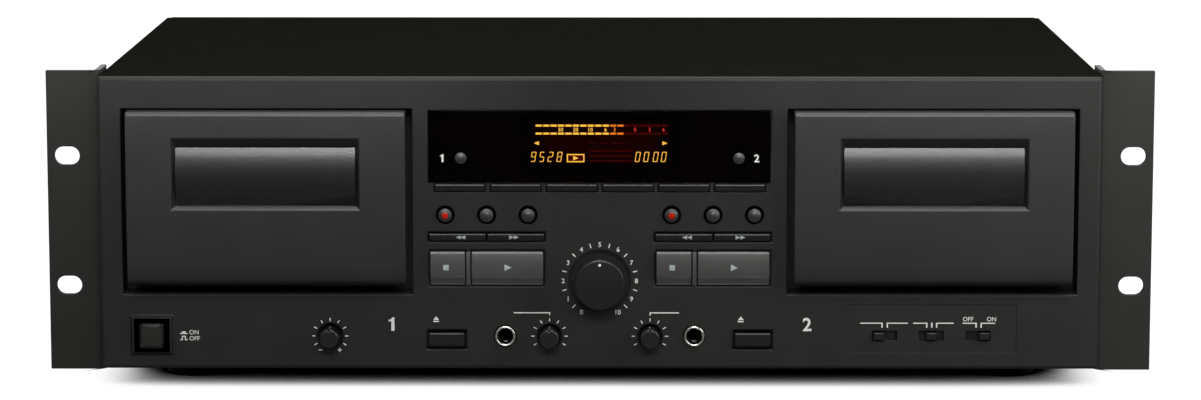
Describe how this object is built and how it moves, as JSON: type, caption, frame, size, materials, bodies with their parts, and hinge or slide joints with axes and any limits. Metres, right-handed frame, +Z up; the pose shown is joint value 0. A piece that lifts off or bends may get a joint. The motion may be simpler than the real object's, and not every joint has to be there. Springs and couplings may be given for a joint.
{
  "type": "cassette duplicator",
  "caption": "Rack-mount cassette duplicator: two fold-down doors, a central display, transport keys, a level knob and slotted ears.",
  "frame": {"origin": "on the floor under the middle of the bounding box", "axes": "+X to the right of someone facing the front, -Y out of the front, +Z up"},
  "size_m": [0.4826, 0.2866, 0.1425],
  "materials": {
    "panel": "satin black moulding",
    "door": "satin black moulding",
    "lens": "smoked clear acrylic",
    "display": "gloss black acrylic",
    "cover": "fine textured black paint",
    "ears": "semi-matte black paint",
    "chassis": "zinc-plated sheet",
    "foot": "matte",
    "screw": "black zinc",
    "frame": "plated pressed steel",
    "holder": "matte moulding",
    "light_key": "warm grey moulding",
    "dark_key": "black moulding",
    "knob": "matte moulding",
    "jack": "nickel-plated",
    "board": "solder-masked laminate",
    "socket": "plated",
    "inlet": "matte moulding",
    "core": "laminated steel",
    "spindle": "black acetal",
    "head": "polished alloy head on its carriage",
    "flywheel": "turned"
  },
  "bodies": {
    "housing": {"front_panel": "panel", "top_cover": "cover", "chassis": "chassis", "rack_ears": "ears", "feet": "foot", "screws": "screw", "transport_frames": "frame", "display_window": "display", "control_boards": "board", "front_jacks": "jack", "line_sockets": "socket", "ac_inlet": "inlet", "main_board": "board", "power_transformer": "core"},
    "door_1": {"door_1": "door", "door_window_1": "lens", "cassette_holder_1": "holder"},
    "supply_spindle_1": {"supply_spindle_1": "spindle"},
    "takeup_spindle_1": {"takeup_spindle_1": "spindle"},
    "capstan_flywheel_1": {"capstan_flywheel_1": "flywheel"},
    "head_carriage_1": {"head_carriage_1": "head"},
    "rewind_key_1": {"rewind_key_1": "dark_key"},
    "fast_forward_key_1": {"fast_forward_key_1": "dark_key"},
    "stop_key_1": {"stop_key_1": "light_key"},
    "play_key_1": {"play_key_1": "light_key"},
    "record_button_1": {"record_button_1": "dark_key"},
    "pause_button_1": {"pause_button_1": "dark_key"},
    "rec_mute_button_1": {"rec_mute_button_1": "dark_key"},
    "counter_reset_button_1": {"counter_reset_button_1": "dark_key"},
    "eject_key_1": {"eject_key_1": "dark_key"},
    "door_2": {"door_2": "door", "door_window_2": "lens", "cassette_holder_2": "holder"},
    "supply_spindle_2": {"supply_spindle_2": "spindle"},
    "takeup_spindle_2": {"takeup_spindle_2": "spindle"},
    "capstan_flywheel_2": {"capstan_flywheel_2": "flywheel"},
    "head_carriage_2": {"head_carriage_2": "head"},
    "rewind_key_2": {"rewind_key_2": "dark_key"},
    "fast_forward_key_2": {"fast_forward_key_2": "dark_key"},
    "stop_key_2": {"stop_key_2": "light_key"},
    "play_key_2": {"play_key_2": "light_key"},
    "record_button_2": {"record_button_2": "dark_key"},
    "pause_button_2": {"pause_button_2": "dark_key"},
    "rec_mute_button_2": {"rec_mute_button_2": "dark_key"},
    "counter_reset_button_2": {"counter_reset_button_2": "dark_key"},
    "eject_key_2": {"eject_key_2": "dark_key"},
    "return_to_zero_1_key": {"return_to_zero_1_key": "dark_key"},
    "dimmer_key": {"dimmer_key": "dark_key"},
    "repeat_key": {"repeat_key": "dark_key"},
    "parallel_rec_key": {"parallel_rec_key": "dark_key"},
    "dub_start_key": {"dub_start_key": "dark_key"},
    "return_to_zero_2_key": {"return_to_zero_2_key": "dark_key"},
    "power_button": {"power_button": "dark_key"},
    "pitch_knob": {"pitch_knob": "knob"},
    "mic_knob": {"mic_knob": "knob"},
    "phones_knob": {"phones_knob": "knob"},
    "rec_level_knob": {"rec_level_knob": "knob"},
    "play_mode_switch": {"play_mode_switch": "dark_key"},
    "timer_switch": {"timer_switch": "dark_key"},
    "noise_reduction_switch": {"noise_reduction_switch": "dark_key"}
  },
  "joints": [
    {"name": "door_1_hinge", "type": "hinge", "parent": "housing", "child": "door_1", "pos_m": [-0.1446, -0.12995, 0.0581], "axis": [1, 0, 0], "range_deg": [0, 25]},
    {"name": "supply_spindle_1_spin", "type": "hinge", "parent": "housing", "child": "supply_spindle_1", "pos_m": [-0.16585, -0.13075, 0.0937], "axis": [0, 1, 0], "continuous": true},
    {"name": "takeup_spindle_1_spin", "type": "hinge", "parent": "housing", "child": "takeup_spindle_1", "pos_m": [-0.12335, -0.13075, 0.0937], "axis": [0, 1, 0], "continuous": true},
    {"name": "capstan_flywheel_1_spin", "type": "hinge", "parent": "housing", "child": "capstan_flywheel_1", "pos_m": [-0.1181, -0.13075, 0.0655], "axis": [0, 1, 0], "continuous": true},
    {"name": "head_carriage_1_slide", "type": "slide", "parent": "housing", "child": "head_carriage_1", "axis": [0, 0, 1], "range_m": [0, 0.005], "stiffness_N_per_m": 150, "springref_m": -0.002},
    {"name": "rewind_key_1_slide", "type": "slide", "parent": "housing", "child": "rewind_key_1", "axis": [0, 1, 0], "range_m": [0, 0.0015], "stiffness_N_per_m": 500, "springref_m": -0.0005},
    {"name": "fast_forward_key_1_slide", "type": "slide", "parent": "housing", "child": "fast_forward_key_1", "axis": [0, 1, 0], "range_m": [0, 0.0015], "stiffness_N_per_m": 500, "springref_m": -0.0005},
    {"name": "stop_key_1_slide", "type": "slide", "parent": "housing", "child": "stop_key_1", "axis": [0, 1, 0], "range_m": [0, 0.0015], "stiffness_N_per_m": 500, "springref_m": -0.0005},
    {"name": "play_key_1_slide", "type": "slide", "parent": "housing", "child": "play_key_1", "axis": [0, 1, 0], "range_m": [0, 0.0015], "stiffness_N_per_m": 500, "springref_m": -0.0005},
    {"name": "record_button_1_slide", "type": "slide", "parent": "housing", "child": "record_button_1", "axis": [0, 1, 0], "range_m": [0, 0.0015], "stiffness_N_per_m": 500, "springref_m": -0.0005},
    {"name": "pause_button_1_slide", "type": "slide", "parent": "housing", "child": "pause_button_1", "axis": [0, 1, 0], "range_m": [0, 0.0015], "stiffness_N_per_m": 500, "springref_m": -0.0005},
    {"name": "rec_mute_button_1_slide", "type": "slide", "parent": "housing", "child": "rec_mute_button_1", "axis": [0, 1, 0], "range_m": [0, 0.0015], "stiffness_N_per_m": 500, "springref_m": -0.0005},
    {"name": "counter_reset_button_1_slide", "type": "slide", "parent": "housing", "child": "counter_reset_button_1", "axis": [0, 1, 0], "range_m": [0, 0.0015], "stiffness_N_per_m": 500, "springref_m": -0.0005},
    {"name": "eject_key_1_slide", "type": "slide", "parent": "housing", "child": "eject_key_1", "axis": [0, 1, 0], "range_m": [0, 0.003], "stiffness_N_per_m": 500, "springref_m": -0.001},
    {"name": "door_2_hinge", "type": "hinge", "parent": "housing", "child": "door_2", "pos_m": [0.1446, -0.12995, 0.0581], "axis": [1, 0, 0], "range_deg": [0, 25]},
    {"name": "supply_spindle_2_spin", "type": "hinge", "parent": "housing", "child": "supply_spindle_2", "pos_m": [0.12335, -0.13075, 0.0937], "axis": [0, 1, 0], "continuous": true},
    {"name": "takeup_spindle_2_spin", "type": "hinge", "parent": "housing", "child": "takeup_spindle_2", "pos_m": [0.16585, -0.13075, 0.0937], "axis": [0, 1, 0], "continuous": true},
    {"name": "capstan_flywheel_2_spin", "type": "hinge", "parent": "housing", "child": "capstan_flywheel_2", "pos_m": [0.1711, -0.13075, 0.0655], "axis": [0, 1, 0], "continuous": true},
    {"name": "head_carriage_2_slide", "type": "slide", "parent": "housing", "child": "head_carriage_2", "axis": [0, 0, 1], "range_m": [0, 0.005], "stiffness_N_per_m": 150, "springref_m": -0.002},
    {"name": "rewind_key_2_slide", "type": "slide", "parent": "housing", "child": "rewind_key_2", "axis": [0, 1, 0], "range_m": [0, 0.0015], "stiffness_N_per_m": 500, "springref_m": -0.0005},
    {"name": "fast_forward_key_2_slide", "type": "slide", "parent": "housing", "child": "fast_forward_key_2", "axis": [0, 1, 0], "range_m": [0, 0.0015], "stiffness_N_per_m": 500, "springref_m": -0.0005},
    {"name": "stop_key_2_slide", "type": "slide", "parent": "housing", "child": "stop_key_2", "axis": [0, 1, 0], "range_m": [0, 0.0015], "stiffness_N_per_m": 500, "springref_m": -0.0005},
    {"name": "play_key_2_slide", "type": "slide", "parent": "housing", "child": "play_key_2", "axis": [0, 1, 0], "range_m": [0, 0.0015], "stiffness_N_per_m": 500, "springref_m": -0.0005},
    {"name": "record_button_2_slide", "type": "slide", "parent": "housing", "child": "record_button_2", "axis": [0, 1, 0], "range_m": [0, 0.0015], "stiffness_N_per_m": 500, "springref_m": -0.0005},
    {"name": "pause_button_2_slide", "type": "slide", "parent": "housing", "child": "pause_button_2", "axis": [0, 1, 0], "range_m": [0, 0.0015], "stiffness_N_per_m": 500, "springref_m": -0.0005},
    {"name": "rec_mute_button_2_slide", "type": "slide", "parent": "housing", "child": "rec_mute_button_2", "axis": [0, 1, 0], "range_m": [0, 0.0015], "stiffness_N_per_m": 500, "springref_m": -0.0005},
    {"name": "counter_reset_button_2_slide", "type": "slide", "parent": "housing", "child": "counter_reset_button_2", "axis": [0, 1, 0], "range_m": [0, 0.0015], "stiffness_N_per_m": 500, "springref_m": -0.0005},
    {"name": "eject_key_2_slide", "type": "slide", "parent": "housing", "child": "eject_key_2", "axis": [0, 1, 0], "range_m": [0, 0.003], "stiffness_N_per_m": 500, "springref_m": -0.001},
    {"name": "return_to_zero_1_key_slide", "type": "slide", "parent": "housing", "child": "return_to_zero_1_key", "axis": [0, 1, 0], "range_m": [0, 0.0008], "stiffness_N_per_m": 500, "springref_m": -0.0005},
    {"name": "dimmer_key_slide", "type": "slide", "parent": "housing", "child": "dimmer_key", "axis": [0, 1, 0], "range_m": [0, 0.0008], "stiffness_N_per_m": 500, "springref_m": -0.0005},
    {"name": "repeat_key_slide", "type": "slide", "parent": "housing", "child": "repeat_key", "axis": [0, 1, 0], "range_m": [0, 0.0008], "stiffness_N_per_m": 500, "springref_m": -0.0005},
    {"name": "parallel_rec_key_slide", "type": "slide", "parent": "housing", "child": "parallel_rec_key", "axis": [0, 1, 0], "range_m": [0, 0.0008], "stiffness_N_per_m": 500, "springref_m": -0.0005},
    {"name": "dub_start_key_slide", "type": "slide", "parent": "housing", "child": "dub_start_key", "axis": [0, 1, 0], "range_m": [0, 0.0008], "stiffness_N_per_m": 500, "springref_m": -0.0005},
    {"name": "return_to_zero_2_key_slide", "type": "slide", "parent": "housing", "child": "return_to_zero_2_key", "axis": [0, 1, 0], "range_m": [0, 0.0008], "stiffness_N_per_m": 500, "springref_m": -0.0005},
    {"name": "power_button_slide", "type": "slide", "parent": "housing", "child": "power_button", "axis": [0, 1, 0], "range_m": [0, 0.004], "stiffness_N_per_m": 400, "springref_m": -0.001},
    {"name": "pitch_knob_turn", "type": "hinge", "parent": "housing", "child": "pitch_knob", "pos_m": [-0.1177, -0.13075, 0.027], "axis": [0, 1, 0], "range_deg": [-150, 150]},
    {"name": "mic_knob_turn", "type": "hinge", "parent": "housing", "child": "mic_knob", "pos_m": [-0.0219, -0.13075, 0.027], "axis": [0, 1, 0], "range_deg": [-150, 150]},
    {"name": "phones_knob_turn", "type": "hinge", "parent": "housing", "child": "phones_knob", "pos_m": [0.0219, -0.13075, 0.027], "axis": [0, 1, 0], "range_deg": [-150, 150]},
    {"name": "rec_level_knob_turn", "type": "hinge", "parent": "housing", "child": "rec_level_knob", "pos_m": [0, -0.13075, 0.0515], "axis": [0, 1, 0], "range_deg": [-150, 150]},
    {"name": "play_mode_switch_slide", "type": "slide", "parent": "housing", "child": "play_mode_switch", "axis": [1, 0, 0], "range_m": [0, 0.0052]},
    {"name": "timer_switch_slide", "type": "slide", "parent": "housing", "child": "timer_switch", "axis": [1, 0, 0], "range_m": [-0.0026, 0.0026]},
    {"name": "noise_reduction_switch_slide", "type": "slide", "parent": "housing", "child": "noise_reduction_switch", "axis": [1, 0, 0], "range_m": [-0.0052, 0]}
  ]
}
